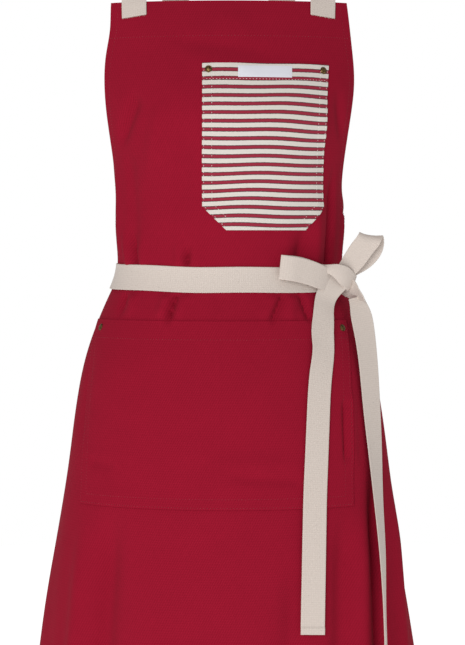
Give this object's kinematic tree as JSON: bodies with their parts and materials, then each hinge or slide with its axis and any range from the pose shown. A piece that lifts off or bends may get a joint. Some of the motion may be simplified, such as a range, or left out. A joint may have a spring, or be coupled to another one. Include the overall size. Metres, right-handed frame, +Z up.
{
  "type": "bib apron",
  "caption": "Bib apron in its worn shape: cotton twill panel with riveted chest and hip pockets, shoulder straps crossed at the back and a webbing belt tied in a bow",
  "frame": {"origin": "midway between the places where the two shoulder straps cross the top of the shoulders, on their under side", "axes": "+Z up, -Y towards the front of the apron, +X towards the wearer's left hand, on the side of the bow"},
  "size_m": [0.451, 0.2737, 0.9313],
  "materials": {
    "twill_red": "matte cotton twill",
    "ticking": "matte woven stripe",
    "webbing": "matte herringbone webbing",
    "label": "satin woven label",
    "antique_brass": "antiqued satin"
  },
  "bodies": {
    "apron": {"apron_panel": "twill_red", "chest_pocket": "ticking", "chest_label": "label", "chest_rivet_caps": "antique_brass", "chest_rivet_posts": "antique_brass", "hip_pocket": "twill_red", "hip_rivet_caps": "antique_brass", "hip_rivet_posts": "antique_brass", "shoulder_strap_left": "webbing", "shoulder_strap_right": "webbing", "waist_belt": "webbing", "bow_knot": "webbing"},
    "loop_left": {"bow_loop_left": "webbing"},
    "loop_right": {"bow_loop_right": "webbing"},
    "tail_front": {"front_tail": "webbing"},
    "tail_side": {"side_tail": "webbing"}
  },
  "joints": [
    {"name": "front_tail_swing", "type": "hinge", "parent": "apron", "child": "tail_front", "pos_m": [0.1142, -0.0614, -0.417], "axis": [-1, 0, 0], "range_deg": [0, 25]},
    {"name": "side_tail_swing", "type": "hinge", "parent": "apron", "child": "tail_side", "pos_m": [0.139, -0.048, -0.42], "axis": [-0.7141, -0.7, 0], "range_deg": [0, 55]},
    {"name": "loop_left_lift", "type": "hinge", "parent": "apron", "child": "loop_left", "pos_m": [0.1142, -0.0585, -0.397], "axis": [0.1191, 0, 0.9929], "range_deg": [0, 12]},
    {"name": "loop_right_lean", "type": "hinge", "parent": "apron", "child": "loop_right", "pos_m": [0.13325, -0.0499, -0.3772], "axis": [0.8522, 0.1503, -0.5012], "range_deg": [-15, 25]}
  ]
}
